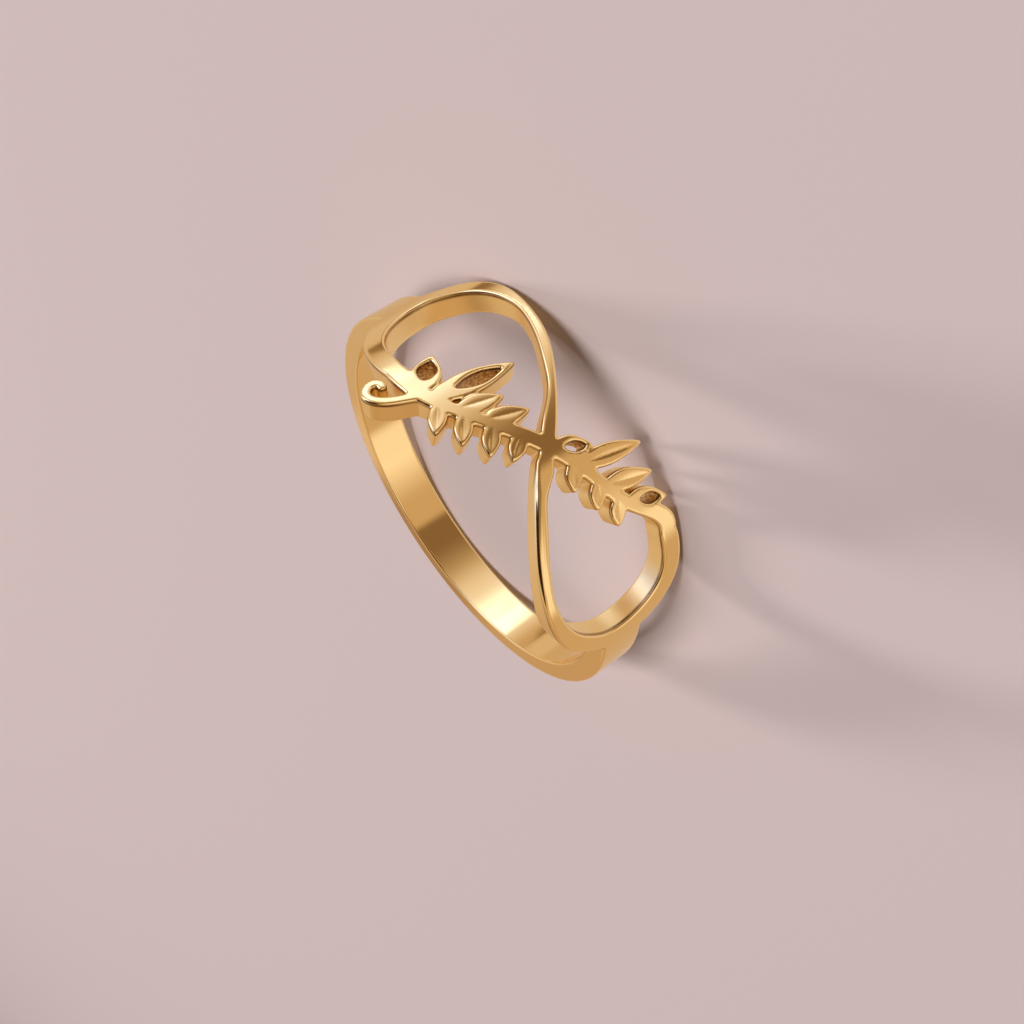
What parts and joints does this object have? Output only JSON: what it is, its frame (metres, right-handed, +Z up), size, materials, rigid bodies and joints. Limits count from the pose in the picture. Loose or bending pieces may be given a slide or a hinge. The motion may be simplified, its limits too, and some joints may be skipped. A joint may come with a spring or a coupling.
{
  "type": "openwork infinity ring",
  "caption": "Polished gold finger ring whose face is an openwork figure of eight, one strand of it a leafy branch with a curled tendril.",
  "frame": {"origin": "middle of the ring's box on the surface that it lies on", "axes": "+Z up from the surface, -Y towards the openwork face, +X towards the face's left end as seen from the front with the branch's tendril up"},
  "size_m": [0.0194, 0.0196, 0.0087],
  "materials": {
    "gold": "high-polish yellow gold, softly rounded edges, faint casting marks in the small openings"
  },
  "bodies": {
    "root": {"ring": "gold"}
  },
  "joints": []
}
